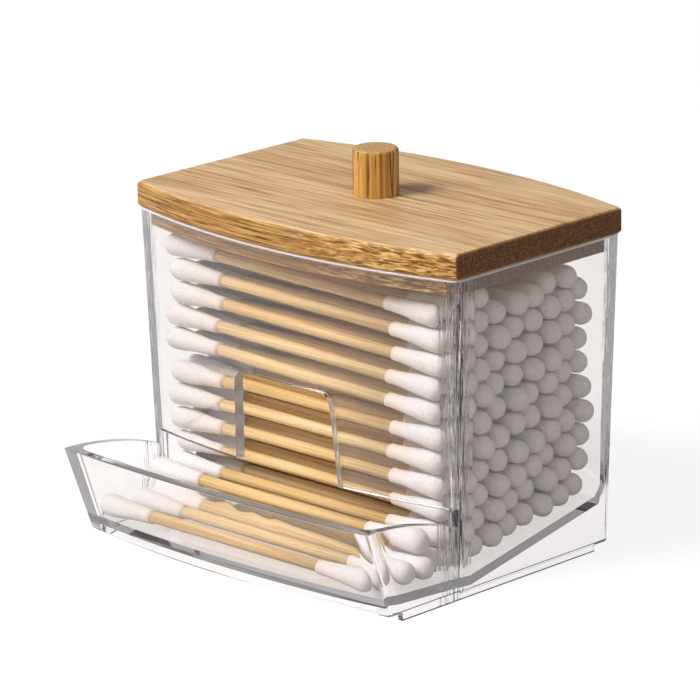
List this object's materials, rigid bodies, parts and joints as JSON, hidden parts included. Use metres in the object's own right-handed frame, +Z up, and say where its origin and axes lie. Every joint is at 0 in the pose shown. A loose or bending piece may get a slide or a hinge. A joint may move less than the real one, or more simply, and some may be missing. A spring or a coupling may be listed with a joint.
{
  "type": "cotton swab box",
  "caption": "Clear moulded bin with bowed walls, a notched front and a flared dispensing tray, filled with cotton swabs under a lift-off bamboo lid with a turned knob.",
  "frame": {"origin": "middle of the whole part's footprint, on the surface that the foot rails stand on", "axes": "+X along the width and the swabs, +Y away from the dispensing tray, +Z up"},
  "size_m": [0.0888, 0.0806, 0.0806],
  "materials": {
    "clear_plastic": "clear, polished",
    "bamboo": "light bamboo, fine straight grain, satin",
    "bamboo_knob": "golden brown bamboo, turned, satin",
    "stick_wood": "pale birch, bare",
    "cotton": "soft white cotton"
  },
  "bodies": {
    "box": {"clear_box": "clear_plastic", "sticks_column_1": "stick_wood", "buds_column_1": "cotton", "sticks_column_2": "stick_wood", "buds_column_2": "cotton", "sticks_column_3": "stick_wood", "buds_column_3": "cotton", "sticks_column_4": "stick_wood", "buds_column_4": "cotton", "sticks_column_5": "stick_wood", "buds_column_5": "cotton", "sticks_column_6": "stick_wood", "buds_column_6": "cotton", "sticks_column_7": "stick_wood", "buds_column_7": "cotton", "sticks_column_8": "stick_wood", "buds_column_8": "cotton", "sticks_column_9": "stick_wood", "buds_column_9": "cotton", "sticks_tray": "stick_wood", "buds_tray": "cotton"},
    "lid": {"lid_board": "bamboo", "lid_knob": "bamboo_knob"}
  },
  "joints": [
    {"name": "lid_lift", "type": "slide", "parent": "box", "child": "lid", "axis": [0, 0, 1], "range_m": [0, 0.05]}
  ]
}
